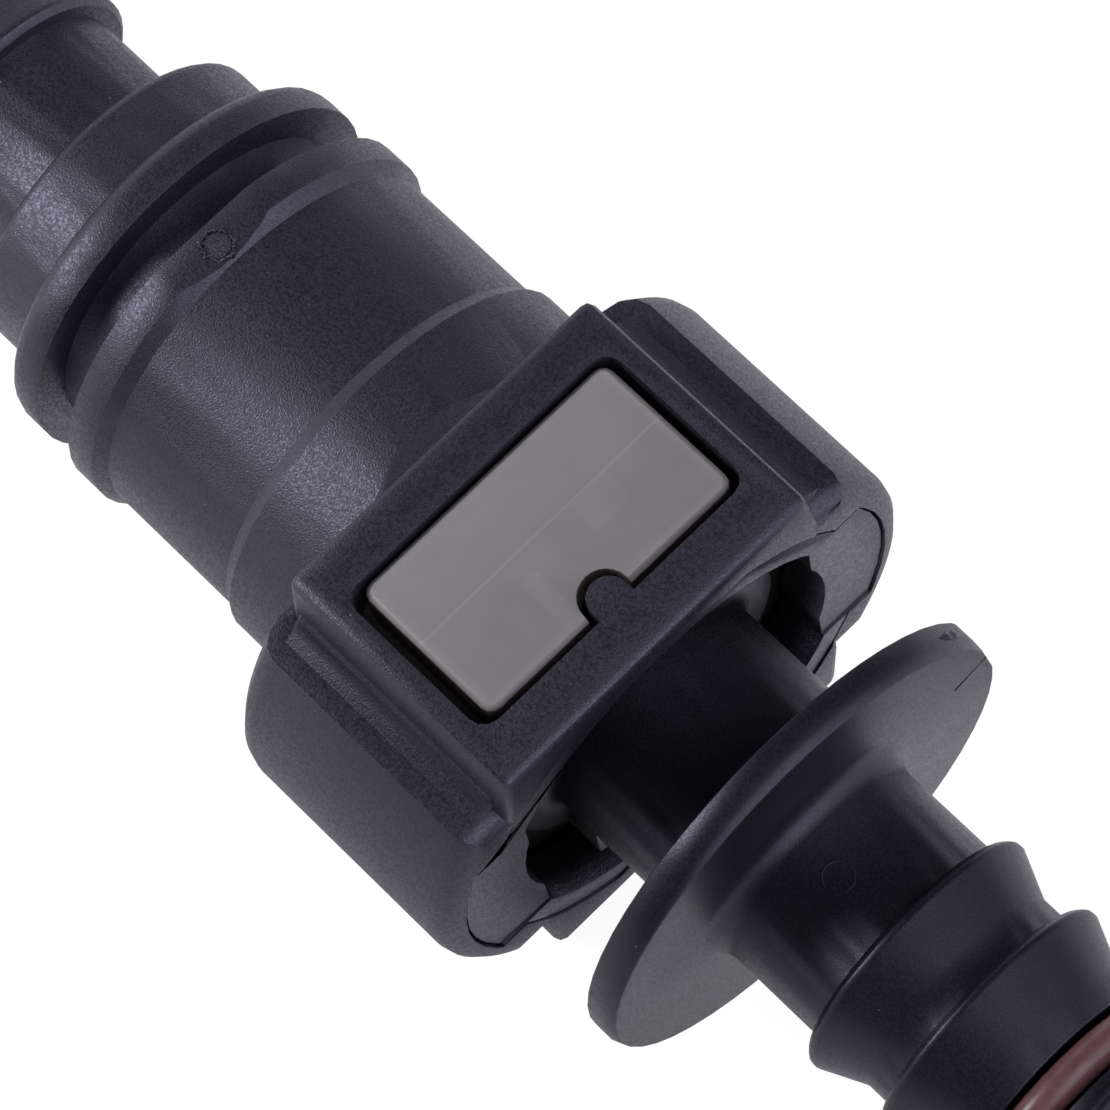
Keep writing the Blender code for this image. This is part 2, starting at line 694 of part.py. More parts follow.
def make_housing(parts, cutters):
    """The socket's housing: head, barrel and hose tail in one moulding."""
    housing = make_head(parts, cutters)
    barrel = turned_solid("socket_barrel", socket_profile(), cutters)
    combine(housing, barrel, "UNION", cutters)
    chamber = oblong_block("chamber_cutter", OVERCUT, -CHAMBER_DEPTH, 0, cutters, cutters)
    combine(housing, chamber, "DIFFERENCE", cutters)
    bore = turned_solid("bore_cutter", bore_profile(), cutters)
    combine(housing, bore, "DIFFERENCE", cutters)
    combine(housing, make_window_cutter(cutters), "DIFFERENCE", cutters)
    flat = box(
        "rib_flat_cutter",
        (RIB_REAR_X - NECK_LENGTH / 2, -RIB_RADIUS, RIB_FLAT_HEIGHT),
        (BARREL_REAR_X + RIB_CHAMFER / 2, RIB_RADIUS, RIB_RADIUS + OVERCUT),
        cutters,
    )
    combine(housing, flat, "DIFFERENCE", cutters)
    return housing


def make_front_insert(parts, cutters):
    """The insert that closes the chamber round the plug, with a leg along each side."""
    insert = oblong_block("front_insert", 0, -INSERT_THICKNESS, SEAM_GAP, parts, cutters)
    leg_rear_x = -CHAMBER_DEPTH + SEAT_GAP
    legs = cylinder("insert_legs", EAR_RADIUS - SEAM_GAP, leg_rear_x, -SEAM_GAP, cutters)
    band = box(
        "leg_band",
        (leg_rear_x - OVERCUT, -EAR_RADIUS - OVERCUT, -LEG_HALF_HEIGHT),
        (OVERCUT, EAR_RADIUS + OVERCUT, LEG_HALF_HEIGHT),
        cutters,
    )
    combine(legs, band, "INTERSECT", cutters)
    inside_y = EAR_RADIUS - SEAM_GAP - LEG_THICKNESS
    middle = box(
        "leg_middle",
        (leg_rear_x - OVERCUT, -inside_y, -EAR_RADIUS),
        (OVERCUT, inside_y, EAR_RADIUS),
        cutters,
    )
    combine(legs, middle, "DIFFERENCE", cutters)
    combine(insert, legs, "UNION", cutters)
    combine(insert, make_opening_cutter(cutters), "DIFFERENCE", cutters)
    for hand in (-1, 1):
        low_y, high_y = sorted((hand * EAR_FACE_INSIDE, hand * (EAR_RADIUS + OVERCUT)))
        face = box(
            "ear_face_cutter",
            (-EAR_FACE_RECESS, low_y, -EAR_FACE_HALF_HEIGHT),
            (OVERCUT, high_y, EAR_FACE_HALF_HEIGHT),
            cutters,
        )
        combine(insert, face, "DIFFERENCE", cutters)
    return insert


def make_opening_cutter(cutters):
    """The insert's opening: a disc with straight sides and a shallow bulge in each side."""
    rear_x = -INSERT_THICKNESS - OVERCUT / 2
    opening = cylinder("opening_cutter", OPENING_RADIUS, rear_x, OVERCUT, cutters)
    sides = box(
        "opening_sides",
        (rear_x - OVERCUT, -OPENING_HALF_WIDTH, -OPENING_RADIUS - OVERCUT),
        (2 * OVERCUT, OPENING_HALF_WIDTH, OPENING_RADIUS + OVERCUT),
        cutters,
    )
    combine(opening, sides, "INTERSECT", cutters)
    bulge = cylinder("opening_bulge", OPENING_BULGE_RADIUS, rear_x, OVERCUT, cutters)
    combine(opening, bulge, "UNION", cutters)
    return opening


def slot_cutter(name, radius, start_x, end_x, cutters):
    """Room for a round piece at rest and with the button pressed."""
    slot = cylinder(name, radius, start_x, end_x, cutters)
    raised = cylinder(name + "_raised", radius, start_x, end_x, cutters, BUTTON_TRAVEL)
    combine(slot, raised, "UNION", cutters)
    between = box(
        name + "_between",
        (start_x, -radius, 0),
        (end_x, radius, BUTTON_TRAVEL),
        cutters,
    )
    combine(slot, between, "UNION", cutters)
    return slot


def make_retainer(parts, cutters):
    """The retainer: one moulding with push button, frame round the plug and catch under the bead."""
    frame_radius = CHAMBER_RADIUS - SLIDE_GAP
    retainer = cylinder("retainer", frame_radius, FRAME_REAR_X, FRAME_FRONT_X, parts)
    raised = cylinder(
        "frame_raised", frame_radius, FRAME_REAR_X, FRAME_FRONT_X, cutters, BUTTON_TRAVEL
    )
    combine(retainer, raised, "INTERSECT", cutters)
    frame_top = CHAMBER_HALF_HEIGHT - SEAT_GAP
    frame_bottom = -CHAMBER_HALF_HEIGHT + SEAT_GAP + BUTTON_TRAVEL
    limits = box(
        "frame_limits",
        (FRAME_REAR_X - OVERCUT, -FRAME_HALF_WIDTH, frame_bottom),
        (FRAME_FRONT_X + OVERCUT, FRAME_HALF_WIDTH, frame_top),
        cutters,
    )
    combine(retainer, limits, "INTERSECT", cutters)
    combine(retainer, make_button(cutters), "UNION", cutters)
    combine(retainer, make_catch(cutters), "UNION", cutters)
    bead_rear_x = BEAD_REAR_X - BEAD_LEAD_LENGTH / 2
    bead_room = slot_cutter("bead_room", BEAD_CLEAR_RADIUS, bead_rear_x, CATCH_REAR_X, cutters)
    combine(retainer, bead_room, "DIFFERENCE", cutters)
    tube_room = slot_cutter(
        "tube_room", FRAME_INNER_RADIUS, FRAME_REAR_X - OVERCUT, CATCH_REAR_X - SLIDE_GAP, cutters
    )
    combine(retainer, tube_room, "DIFFERENCE", cutters)
    notch_straight = NOTCH_DEPTH - NOTCH_RADIUS
    notch_x = WINDOW_FRONT_X - BUTTON_FRONT_GAP
    notch = key_shape("button_notch", notch_x, NOTCH_RADIUS, notch_straight, cutters)
    combine(retainer, notch, "DIFFERENCE", cutters)
    return retainer


def make_button(cutters):
    """The button plate that fills the window, a little nearer to the window's +Y side."""
    half_width = WINDOW_WIDTH / 2 - BUTTON_SIDE_GAP
    button = box(
        "button_plate",
        (WINDOW_REAR_X + BUTTON_REAR_GAP, BUTTON_OFF_CENTER - half_width, BEAD_RADIUS),
        (
            WINDOW_FRONT_X - BUTTON_FRONT_GAP,
            BUTTON_OFF_CENTER + half_width,
            HEAD_HALF_HEIGHT - BUTTON_RECESS,
        ),
        cutters,
    )
    round_edges(button, BUTTON_CORNER_ROUND, vertical_only=True)
    round_edges(button, BUTTON_EDGE_ROUND, segments=1, angle_degrees=60)
    return button


def make_catch(cutters):
    """The curved catch that holds the bead from below until the button is pressed."""
    rear_x = FRAME_FRONT_X - CATCH_REACH
    catch = cylinder(
        "catch", CATCH_OUTER_RADIUS, rear_x, -CATCH_DEPTH, cutters, BUTTON_TRAVEL
    )
    inside = cylinder(
        "catch_inside",
        BEAD_CLEAR_RADIUS,
        CATCH_REAR_X - SLIDE_GAP,
        OVERCUT,
        cutters,
        BUTTON_TRAVEL,
    )
    combine(catch, inside, "DIFFERENCE", cutters)
    lower = box(
        "catch_limits",
        (rear_x - OVERCUT, -CATCH_HALF_WIDTH, -CATCH_OUTER_RADIUS),
        (OVERCUT, CATCH_HALF_WIDTH, -CATCH_TOP_DROP),
        cutters,
    )
    combine(catch, lower, "INTERSECT", cutters)
    return catch


def make_ring(name, along_x, middle_radius, section_radius, collection):
    """A rubber ring of round section."""
    profile = []
    for index in range(RING_SECTION_STEPS):
        angle = 2 * math.pi * index / RING_SECTION_STEPS
        point_x = along_x - section_radius * math.sin(angle)
        profile.append((point_x, middle_radius + section_radius * math.cos(angle)))
    return turned(name, profile, collection, steps=RING_STEPS)


def make_tail_ring(name, face_x, direction, collection):
    """The rubber ring in a hose tail's groove."""
    middle_x = face_x + direction * (TAIL_RING_DISTANCE + TAIL_GROOVE_WIDTH / 2)
    section_radius = TAIL_RING_SECTION / 2
    return make_ring(
        name, middle_x, TAIL_RING_OUTER_RADIUS - section_radius, section_radius, collection
    )


def make_bush(parts):
    """The bush that keeps the seals in the bore, with a lead-in for the plug."""
    front_x = -CHAMBER_DEPTH - SEAM_GAP
    outer = BUSH_SEAT_RADIUS - RING_GAP
    nose = SEAL_BORE_RADIUS - RING_GAP
    shelf_x = BUSH_SEAT_REAR_X + RING_GAP
    profile = [
        (front_x, BUSH_BORE_RADIUS + BUSH_LEAD_CHAMFER),
        (front_x, outer),
        (shelf_x, outer),
        (shelf_x, nose),
        (BUSH_NOSE_REAR_X, nose),
        (BUSH_NOSE_REAR_X, BUSH_BORE_RADIUS),
        (front_x - BUSH_LEAD_CHAMFER, BUSH_BORE_RADIUS),
    ]
    return turned("seal_bush", profile, parts)


def make_spacer(parts):
    """The ring that keeps the two seals apart."""
    outer = SEAL_BORE_RADIUS - RING_GAP
    profile = [
        (SPACER_FRONT_X, BUSH_BORE_RADIUS),
        (SPACER_FRONT_X, outer - SPACER_CHAMFER),
        (SPACER_FRONT_X - SPACER_CHAMFER, outer),
        (SPACER_REAR_X + SPACER_CHAMFER, outer),
        (SPACER_REAR_X, outer - SPACER_CHAMFER),
        (SPACER_REAR_X, BUSH_BORE_RADIUS),
    ]
    return turned("seal_spacer", profile, parts)


def main():
    """Build every piece of the connector."""
    remove_everything()
    parts = make_collection(COLLECTION_NAME)
    cutters = make_collection(CUTTER_COLLECTION_NAME)
    axis_empty = make_axis_empty(parts)

    socket_plastic = make_material("socket_plastic", (0.026, 0.025, 0.029), 0.55)
    plug_plastic = make_material("plug_plastic", (0.016, 0.016, 0.019), 0.42)
    retainer_nylon = make_material("retainer_nylon", (0.20, 0.19, 0.205), 0.45)
    inner_plastic = make_material("inner_plastic", (0.05, 0.05, 0.055), 0.5)
    seal_rubber = make_material("seal_rubber", (0.02, 0.02, 0.02), 0.6)
    ring_rubber = make_material("tail_ring_rubber", (0.11, 0.048, 0.056), 0.35)

    finish_piece(make_housing(parts, cutters), axis_empty, socket_plastic)
    finish_piece(make_front_insert(parts, cutters), axis_empty, socket_plastic)
    finish_piece(make_retainer(parts, cutters), axis_empty, retainer_nylon)
    finish_piece(make_plug(parts, cutters), axis_empty, plug_plastic)
    finish_piece(make_bush(parts), axis_empty, inner_plastic)
    finish_piece(make_spacer(parts), axis_empty, inner_plastic)
    for name, along_x in (("front_seal_ring", FRONT_SEAL_X), ("rear_seal_ring", REAR_SEAL_X)):
        ring = make_ring(name, along_x, SEAL_MIDDLE_RADIUS, SEAL_SECTION_RADIUS, parts)
        finish_piece(ring, axis_empty, seal_rubber)
    plug_ring = make_tail_ring("plug_tail_ring", PLUG_FACE_X, 1, parts)
    finish_piece(plug_ring, axis_empty, ring_rubber)
    socket_ring = make_tail_ring("socket_tail_ring", COLLAR_REAR_X, -1, parts)
    finish_piece(socket_ring, axis_empty, ring_rubber)


main()
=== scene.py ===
"""Scene for the straight quick connector: camera, light, materials and fine detail."""
import math

import bmesh
import bpy
from mathutils import Matrix, Vector


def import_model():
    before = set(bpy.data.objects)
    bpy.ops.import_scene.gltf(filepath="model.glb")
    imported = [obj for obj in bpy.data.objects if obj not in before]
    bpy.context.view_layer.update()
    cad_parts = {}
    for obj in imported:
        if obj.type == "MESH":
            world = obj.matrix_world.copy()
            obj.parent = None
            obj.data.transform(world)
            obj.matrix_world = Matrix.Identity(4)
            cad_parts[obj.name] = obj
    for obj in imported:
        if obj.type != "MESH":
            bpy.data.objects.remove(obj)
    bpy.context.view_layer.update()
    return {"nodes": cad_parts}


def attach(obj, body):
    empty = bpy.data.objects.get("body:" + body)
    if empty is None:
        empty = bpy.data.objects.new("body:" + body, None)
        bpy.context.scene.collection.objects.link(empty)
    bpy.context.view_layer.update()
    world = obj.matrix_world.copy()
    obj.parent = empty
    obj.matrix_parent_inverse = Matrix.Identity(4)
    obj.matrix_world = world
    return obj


MM = 0.001
AXIS_HEIGHT = 12.1

# Camera, found from the photograph's edges: turns of the axis, distance and aim
FRAME_PIXELS = 1110
PIXELS_PER_MM = 22.28
SENSOR_WIDTH = 36.0
CAMERA_DISTANCE = 250 * MM
LEAN_DEGREES = 17.9
TURN_DEGREES = 43.2
ROLL_DEGREES = 10.2
AIM_POINT = Vector((-3.05, 0, AXIS_HEIGHT)) * MM
AIM_SHIFT = 1.9 * MM

# Base colours, linear
SOCKET_COLOR = (0.0078, 0.0073, 0.0112)
PLUG_COLOR = (0.0042, 0.0040, 0.0058)
NYLON_COLOR = (0.220, 0.207, 0.213)
# dark brown painted shade for the retainer's upper walls
NYLON_WALL_SHADE_COLOR = (0.048, 0.027, 0.018)
INNER_COLOR = (0.030, 0.030, 0.034)
SEAL_COLOR = (0.012, 0.012, 0.013)
RING_COLOR = (0.125, 0.052, 0.060)
DUST_COLOR = (0.22, 0.22, 0.24)
# near black of the painted shade in the gate's crack
CRACK_SHADE_COLOR = (0.002, 0.002, 0.003)
FLOOR_COLOR = (0.90, 0.90, 0.90)

# Colours of gloss and light, linear
WHITE = (1.0, 1.0, 1.0)
COOL_GLOSS = (0.77, 0.74, 1.0)
COOL_LIGHT = (0.94, 0.93, 1.0)

# Floor, just under the part's lower pad, in metres
FLOOR_DROP = -0.01 * MM
FLOOR_HALF_SIZE = 1.5

# Share and strength of the floor's own white, which lights nothing by diffuse light
FLOOR_GLOW_SHARE = 0.84
FLOOR_GLOW = 1.12

# The side on which the floor's glow is dimmer in reflections, and how much dimmer
DIM_FLOOR_SIDE = (0.34, -0.94, 0.0)
DIM_FLOOR_LEVEL = 0.62
DIM_FLOOR_RANGE = (0.0, 0.8)

# Soft studio light: level low and high, and the range of heights between them
SKY_LOW = 0.12
SKY_HIGH = 0.05
SKY_RANGE = (0.3, 0.95)
BACKGROUND_WHITE = 1.08

# Wide panels in the sky as (turn, height, outer and inner half width, level), in degrees
PANELS = [
    (22, 20, 68, 22, 1.50),
    (3, 52, 36, 10, 1.00),
    (165, 2, 48, 14, 1.05),
]

# The soft lamp at the photograph's left, in metres and watts
LAMP_PLACE = (-0.212, -0.193, 0.175)
LAMP_TARGET = (0, 0, 12 * MM)
LAMP_SIZE = 0.12
LAMP_POWER = 0.67

# Black plastic: noises counted per mm, what they become and the spans used of two of them
CLOUD_SCALE = 0.8
CLOUD_LEVELS = (0.88, 1.12)
GRIT_SCALE = 8.0
GRIT_LEVELS = (0.65, 1.45)
GRIT_SPAN = (0.35, 0.65)
GLOSS_SCALE = 7.0
GLOSS_SPAN = (0.36, 0.64)
STREAK_SCALE = 5.0
STREAK_STRETCH = (1, 0.10, 1.3)

# Dust specks: cells per mm and the radius in mm at which a speck has faded
SPECK_DENSITY = 0.62
SPECK_RADIUS = 0.045

# The button's plate in mm: its middle and half size along X and Y
PLATE_MIDDLE = (-0.15, 0.17)
PLATE_HALF = (4.05, 7.31)

# Painted light on the plate: a glow along its rim and a lamp's highlight towards its rear;
# widths in mm
PLATE_RIM_WIDTH = 0.65
PLATE_RIM_SOFT = 0.55
PLATE_RIM_GLOW_LEVEL = 1.20
PLATE_REAR_HIGHLIGHT_LEVEL = 1.14
PLATE_REAR_REACH = 1.5

# Line, strip and patch of painted light through the nylon on the plate, as (middle, half
# width, soft edge) in mm
PLATE_LINE_X = (-0.55, 0.03, 0.06)
PLATE_STRIP_X = (2.3, 1.7, 0.06)
PLATE_STRIP_Y = (-1.70, 0.38, 0.06)
PLATE_PATCH_X = (0.35, 0.85, 0.05)
PLATE_PATCH_Y = (2.9, 1.1, 0.05)

# How much paler the line, the strip and the patch are with painted light, and the raised
# line's height in mm
PLATE_LIGHT_MARK_LEVELS = (0.16, 0.08, 0.05)
PLATE_LINE_BUMP = 0.006

# The small round mark on the plate, in mm
PLATE_DOT_PLACE = (-0.69, 1.54, 23.9)
PLATE_DOT_RADIUS = 0.09
PLATE_DOT_BUMP = 0.02

# Painted shade: the retainer darkens below its plate, between these heights
UNDER_PLATE_SHADE_LEVEL = 0.25
UNDER_PLATE_SHADE_HEIGHTS = (21.0 * MM, 22.8 * MM)

# Painted shade, dark brown, on its upper walls: the share, the walls' slope and their heights
WALL_SHADE_SHARE = 0.85
WALL_SLOPES = (0.15, 0.75)
WALL_HEIGHTS = (20.6 * MM, 21.6 * MM)

# Nylon: noises counted per mm and what they become, and its grain as (per mm, height)
NYLON_CLOUD_SCALE = 0.5
NYLON_CLOUD_LEVELS = (0.97, 1.03)
NYLON_GLOSS_SCALE = 4.0
NYLON_ROUGH = (0.44, 0.54)
NYLON_GRAIN = (7, 0.003)

# Light that the nylon lets through
NYLON_DEPTH_SHARE = 0.20
NYLON_DEPTH_COLORS = (1.0, 0.62, 0.45)
NYLON_DEPTH = 0.6 * MM

# Rubber: noises counted per mm and what they become, and its grain as (per mm, height)
BLOOM_SCALE = 1.5
BLOOM_LEVELS = (0.85, 1.2)
RUBBER_GLOSS_SCALE = 3.0
RUBBER_GRAIN = (9, 0.002)

# What each CAD node gets: material, the record's slot and the edge rounding in mm
NODE_LOOKS = {
    "housing": ("socket", "socket_plastic", 0.12),
    "front_insert": ("insert", "socket_plastic", 0.08),
    "retainer": ("nylon", "retainer_nylon", 0.05),
    "plug": ("plug", "plug_plastic", 0.08),
    "seal_bush": ("inner", "inner_plastic", 0.0),
    "seal_spacer": ("inner", "inner_plastic", 0.0),
    "front_seal_ring": ("seal", "seal_rubber", 0.0),
    "rear_seal_ring": ("seal", "seal_rubber", 0.0),
    "plug_tail_ring": ("ring", "tail_ring_rubber", 0.0),
    "socket_tail_ring": ("ring", "tail_ring_rubber", 0.0),
}

# Modifiers of the CAD nodes
WELD_DISTANCE = 0.002 * MM
FLAT_DEGREES = 0.3
SHARP_DEGREES = 30.5

# The sprue's torn mark on the rib's flat, a rough disc in the material; lengths in mm
GATE_PLACE = (-21.18, -0.09, 22.0)
GATE_RADIUS = 0.74
GATE_DISC_INSET = 0.12
GATE_DISC_SOFT = 0.06
GATE_DISC_SCALE = 6.0
GATE_DISC_BUMP = 0.14

# Rings about the gate: shares of width and height, and waves as (size in mm, count, phase)
RING_STEPS = 96
RING_SHOULDER = 0.2
RING_OUTER_RISE = 0.7
RING_WAVES = [(0.05, 2, 1), (0.025, 7, 0), (0.02, 19, 0)]

# The ring of torn crumbs; lengths in mm
CRUMB_INSET = 0.08
CRUMB_SINK = 0.02
CRUMB_WIDTH = 0.17
CRUMB_WIDTH_WAVES = [(0.06, 17, 2), (0.04, 7, 0)]
CRUMB_HEIGHT = 0.10
CRUMB_HEIGHT_WAVES = [(0.04, 3, 0.6), (0.05, 13, 0)]

# The crack beside the crumbs, a dark strip of painted shade, which opens towards one side;
# lengths in mm
CRACK_OFFSET = 0.05
CRACK_SINK = 0.01
CRACK_WIDTH = 0.04
CRACK_OPENING = 0.13
CRACK_SIDE = math.radians(60)
CRACK_HEIGHT = 0.006
CRACK_SHADE_SCALE = 9
CRACK_SHADE_LEVELS = (0.5, 1.5)

# The ejector mark on the plug's stem, in mm
STEM_MARK_PLACE = (17.92, -0.84, 17.58)
STEM_MARK_RADIUS = 0.72
STEM_MARK_WIDTH = 0.07
STEM_MARK_BUMP = 0.012

# The gate's stub on the flange's rim; lengths in mm
FLANGE_MIDDLE_X = 13.95
FLANGE_RADIUS = 11.9
STUB_STEPS = 20
STUB_START_DEGREES = 26
STUB_SPAN_DEGREES = 11
STUB_LIFT = 0.18
STUB_UNEVENNESS = 0.25
STUB_RIPPLE = 19
STUB_HALF_AT_ENDS = 0.05
STUB_HALF_GAIN = 0.22
STUB_SINK = 0.1
STUB_TOP_SINK = 0.02
STUB_TOP_SHARE = 0.6

# The moulding line on the flange's outer face, its ends as (y, z); lengths in mm
FLANGE_FACE_X = 14.75
FACE_LINE_ENDS = ((11.35, 14.48), (9.36, 14.06))
FACE_LINE_HALF = 0.07
FACE_LINE_RISE = 0.035
FACE_LINE_TOP_SHARE = 0.4

# A mix node's first input, second input and output, by kind of data
MIX_SOCKETS = {"FLOAT": (2, 3, 0), "RGBA": (6, 7, 2)}


def photo_axes():
    """The photograph's right, down and forward, and the direction across the connector."""
    lean = math.radians(LEAN_DEGREES)
    turn = math.radians(TURN_DEGREES)
    roll = math.radians(ROLL_DEGREES)
    up = Vector((0, 0, 1))
    across = Vector((0, 1, 0))
    along = Vector((1, 0, 0))
    near = math.cos(roll) * up - math.sin(roll) * across
    side = -math.cos(roll) * across - math.sin(roll) * up
    axis = math.cos(lean) * along - math.sin(lean) * near
    forward = -math.sin(lean) * along - math.cos(lean) * near
    right = axis * math.cos(turn) - side * math.sin(turn)
    down = axis * math.sin(turn) + side * math.cos(turn)
    return right, down, forward, side


def make_camera():
    """The camera that matches the photograph's view."""
    right, down, forward, side = photo_axes()
    data = bpy.data.cameras.new("photo_camera")
    camera = bpy.data.objects.new("photo_camera", data)
    bpy.context.scene.collection.objects.link(camera)
    turn = Matrix((right, -down, -forward)).transposed()
    place = AIM_POINT - AIM_SHIFT * side - CAMERA_DISTANCE * forward
    camera.matrix_world = Matrix.Translation(place) @ turn.to_4x4()
    data.sensor_fit = "HORIZONTAL"
    data.sensor_width = SENSOR_WIDTH
    focal_pixels = PIXELS_PER_MM * CAMERA_DISTANCE / MM
    data.lens = SENSOR_WIDTH * focal_pixels / FRAME_PIXELS
    data.clip_start = 0.01
    data.clip_end = 10
    bpy.context.scene.camera = camera


def new_node(tree, kind, **values):
    """Add a shader node and set its plain properties."""
    node = tree.nodes.new(kind)
    for name, value in values.items():
        setattr(node, name, value)
    return node


def feed(tree, socket, value):
    """Link a node's output to an input, or set the input to a plain number or colour."""
    if isinstance(value, bpy.types.NodeSocket):
        tree.links.new(value, socket)
    elif socket.type == "RGBA":
        socket.default_value = (*value, 1)
    else:
        socket.default_value = value


def combine(tree, operation, first, *others):
    """Arithmetic on values from left to right; each may be a plain number."""
    result = first
    for other in others:
        node = new_node(tree, "ShaderNodeMath", operation=operation)
        feed(tree, node.inputs[0], result)
        feed(tree, node.inputs[1], other)
        result = node.outputs[0]
    return result


def product(tree, *values):
    """Values multiplied from left to right; each may be a plain number."""
    return combine(tree, "MULTIPLY", *values)


def remap(tree, source, low, high, from_low=0.3, from_high=0.7):
    """Map one range of a value, a noise's middle range if not given, to another."""
    node = new_node(tree, "ShaderNodeMapRange")
    node.inputs["From Min"].default_value = from_low
    node.inputs["From Max"].default_value = from_high
    node.inputs["To Min"].default_value = low
    node.inputs["To Max"].default_value = high
    tree.links.new(source, node.inputs["Value"])
    return node.outputs["Result"]


def mix(tree, kind, amount, first, second):
    """Mix two numbers or colours; each may be plain."""
    node = new_node(tree, "ShaderNodeMix", data_type=kind)
    first_input, second_input, output = MIX_SOCKETS[kind]
    feed(tree, node.inputs[0], amount)
    feed(tree, node.inputs[first_input], first)
    feed(tree, node.inputs[second_input], second)
    return node.outputs[output]


def tint(tree, color, amount):
    """A colour made lighter or darker by a factor."""
    node = new_node(tree, "ShaderNodeVectorMath", operation="SCALE")
    node.inputs[0].default_value = color
    tree.links.new(amount, node.inputs["Scale"])
    return node.outputs["Vector"]


def bump(tree, heights):
    """A bump from several (height, distance in mm) pairs."""
    normal = None
    for height, distance in heights:
        node = new_node(tree, "ShaderNodeBump")
        node.inputs["Distance"].default_value = distance * MM
        tree.links.new(height, node.inputs["Height"])
        if normal is not None:
            tree.links.new(normal, node.inputs["Normal"])
        normal = node.outputs["Normal"]
    return normal


def scaled_place(tree, scales):
    """The part's own coordinates, with each axis scaled."""
    place = new_node(tree, "ShaderNodeTexCoord")
    spread = new_node(tree, "ShaderNodeMapping")
    spread.inputs["Scale"].default_value = scales
    tree.links.new(place.outputs["Object"], spread.inputs["Vector"])
    return spread.outputs["Vector"]


def noise(tree, scale, detail=2.0, roughness=0.5, stretch=(1, 1, 1)):
    """Noise in the part's own coordinates; the scale is counted per millimetre."""
    texture = new_node(tree, "ShaderNodeTexNoise")
    texture.inputs["Scale"].default_value = scale
    texture.inputs["Detail"].default_value = detail
    texture.inputs["Roughness"].default_value = roughness
    place = scaled_place(tree, [axis / MM for axis in stretch])
    tree.links.new(place, texture.inputs["Vector"])
    return texture.outputs["Fac"]


def specks(tree, density, radius):
    """1 on sparse dust specks; density per mm, radius in mm."""
    cells = new_node(tree, "ShaderNodeTexVoronoi")
    cells.inputs["Scale"].default_value = 1.0
    place = scaled_place(tree, [density / MM] * 3)
    tree.links.new(place, cells.inputs["Vector"])
    edge = radius * density
    return remap(tree, cells.outputs["Distance"], 1.0, 0.0, edge * 0.5, edge)


def coordinates(tree):
    """The part's own x, y and z in metres."""
    place = new_node(tree, "ShaderNodeTexCoord")
    parts = new_node(tree, "ShaderNodeSeparateXYZ")
    tree.links.new(place.outputs["Object"], parts.inputs[0])
    return parts.outputs


def band(tree, source, middle, half, soft):
    """1 within half of the middle, falling to 0 over soft; all in mm."""
    offset = combine(tree, "SUBTRACT", source, middle * MM)
    away = combine(tree, "ABSOLUTE", offset, 0)
    return remap(tree, away, 1.0, 0.0, half * MM, (half + soft) * MM)


def distance_from(tree, center):
    """Distance in metres from a point given in mm."""
    place = new_node(tree, "ShaderNodeTexCoord")
    gap = new_node(tree, "ShaderNodeVectorMath", operation="DISTANCE")
    tree.links.new(place.outputs["Object"], gap.inputs[0])
    gap.inputs[1].default_value = [value * MM for value in center]
    return gap.outputs["Value"]


def ring_mark(tree, center, radius, width):
    """1 on a thin ring about a point in mm, 0 elsewhere."""
    return band(tree, distance_from(tree, center), radius, 0.0, width)


def alignment(tree, direction, axis):
    """How far a direction points along an axis, from -1 to 1."""
    toward = new_node(tree, "ShaderNodeVectorMath", operation="DOT_PRODUCT")
    tree.links.new(direction, toward.inputs[0])
    toward.inputs[1].default_value = axis
    return toward.outputs["Value"]


def grain_bump(tree, grain, detail=2.0):
    """A fine grain for bump; grain is the bumps per mm and their height in mm."""
    fineness, height = grain
    return noise(tree, fineness, detail), height


def start_material(name):
    """A new material, its node tree and its Principled shader."""
    material = bpy.data.materials.new(name)
    material.use_nodes = True
    tree = material.node_tree
    return material, tree, tree.nodes["Principled BSDF"]


def moulded_plastic(name, color, rough, grain, specular, marks=None, streaks=0.0):
    """Moulded plastic: fine spark-eroded grain, patches of differing gloss and dust specks.

    rough is the lowest and highest roughness, grain the bumps per mm and their height in mm,
    marks a function that adds bumps, and streaks the height in mm of streaks along Y.
    """
    material, tree, shader = start_material(name)
    cloud = remap(tree, noise(tree, CLOUD_SCALE, detail=3), *CLOUD_LEVELS)
    grit = remap(tree, noise(tree, GRIT_SCALE, detail=1), *GRIT_LEVELS, *GRIT_SPAN)
    plain = tint(tree, color, product(tree, cloud, grit))
    dust = specks(tree, SPECK_DENSITY, SPECK_RADIUS)
    feed(tree, shader.inputs["Base Color"], mix(tree, "RGBA", dust, plain, DUST_COLOR))
    gloss = remap(tree, noise(tree, GLOSS_SCALE, detail=1), *rough, *GLOSS_SPAN)
    feed(tree, shader.inputs["Roughness"], gloss)
    heights = [grain_bump(tree, grain, detail=1)]
    if streaks:
        lines = noise(tree, STREAK_SCALE, detail=3, roughness=0.6, stretch=STREAK_STRETCH)
        heights.append((lines, streaks))
    if marks:
        heights += marks(tree)
    feed(tree, shader.inputs["Normal"], bump(tree, heights))
    shader.inputs["Specular IOR Level"].default_value = specular
    feed(tree, shader.inputs["Specular Tint"], COOL_GLOSS)
    return material


def socket_marks(tree):
    """The rough disc where the sprue tore off, inside its ring of crumbs."""
    away = distance_from(tree, GATE_PLACE)
    inside = band(tree, away, 0.0, GATE_RADIUS - GATE_DISC_INSET, GATE_DISC_SOFT)
    torn = product(tree, inside, noise(tree, GATE_DISC_SCALE, detail=3, roughness=0.7))
    return [(torn, GATE_DISC_BUMP)]


def plug_marks(tree):
    """The faint round ejector mark on the plug's stem."""
    ring = ring_mark(tree, STEM_MARK_PLACE, STEM_MARK_RADIUS, STEM_MARK_WIDTH)
    return [(ring, STEM_MARK_BUMP)]


def socket_material():
    """The housing's black plastic, with the deepest grain."""
    return moulded_plastic(
        "socket_look",
        SOCKET_COLOR,
        rough=(0.38, 0.57),
        grain=(12.0, 0.020),
        specular=0.88,
        marks=socket_marks,
    )


